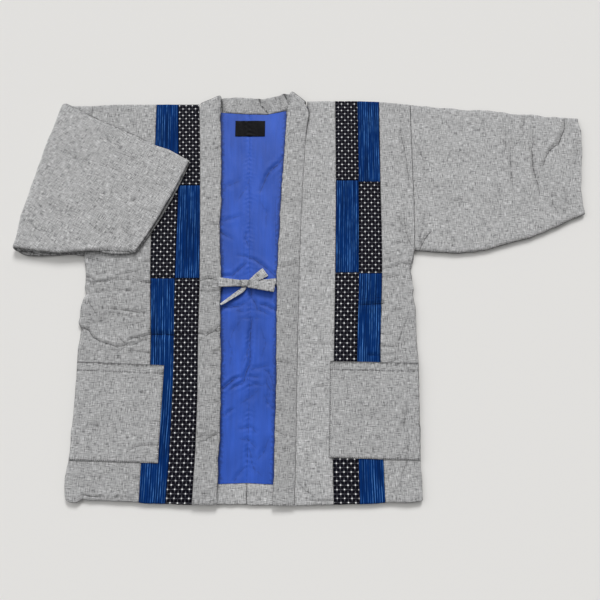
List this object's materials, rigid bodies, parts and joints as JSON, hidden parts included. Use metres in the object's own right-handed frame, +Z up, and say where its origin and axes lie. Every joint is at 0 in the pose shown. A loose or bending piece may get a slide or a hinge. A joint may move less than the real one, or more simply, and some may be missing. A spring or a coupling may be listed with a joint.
{
  "type": "hanten jacket",
  "caption": "Padded hanten jacket lying flat and face up, with wide sleeves, the right one folded forward, patchwork front strips, patch pockets and tied cloth ties.",
  "frame": {"origin": "bottom centre of the bounding box, on the surface that the garment lies on", "axes": "+X towards the wearer's left, +Y from the hem to the shoulders, +Z up from the surface"},
  "size_m": [1.1795, 0.8553, 0.0225],
  "materials": {
    "grey": "matt slub cotton",
    "stripe": "matt striped cotton",
    "kasuri": "matt kasuri cotton",
    "lining": "soft sheen taffeta",
    "label": "woven satin"
  },
  "bodies": {
    "root": {"back_right": "grey", "back_left": "grey", "lining_right": "lining", "lining_left": "lining", "hem_facing_right": "grey", "hem_facing_left": "grey", "neck_label": "label", "right_front_side": "grey", "right_front_outer_1": "stripe", "right_front_outer_2": "kasuri", "right_front_outer_3": "stripe", "right_front_inner_1": "kasuri", "right_front_inner_2": "stripe", "right_front_inner_3": "kasuri", "left_front_edge": "grey", "left_front_inner_1": "kasuri", "left_front_inner_2": "stripe", "left_front_inner_3": "kasuri", "left_front_outer_1": "stripe", "left_front_outer_2": "kasuri", "left_front_outer_3": "stripe", "left_front_side": "grey", "pocket_right": "grey", "pocket_left": "grey", "collar": "grey", "sleeve_left": "grey", "sleeve_right": "grey", "tie_knot": "grey", "tie_right_loop": "grey", "tie_left_loop": "grey", "tie_right_stand": "grey", "tie_left_stand": "grey", "tie_upper_tail": "grey", "tie_lower_tail": "grey"}
  },
  "joints": []
}
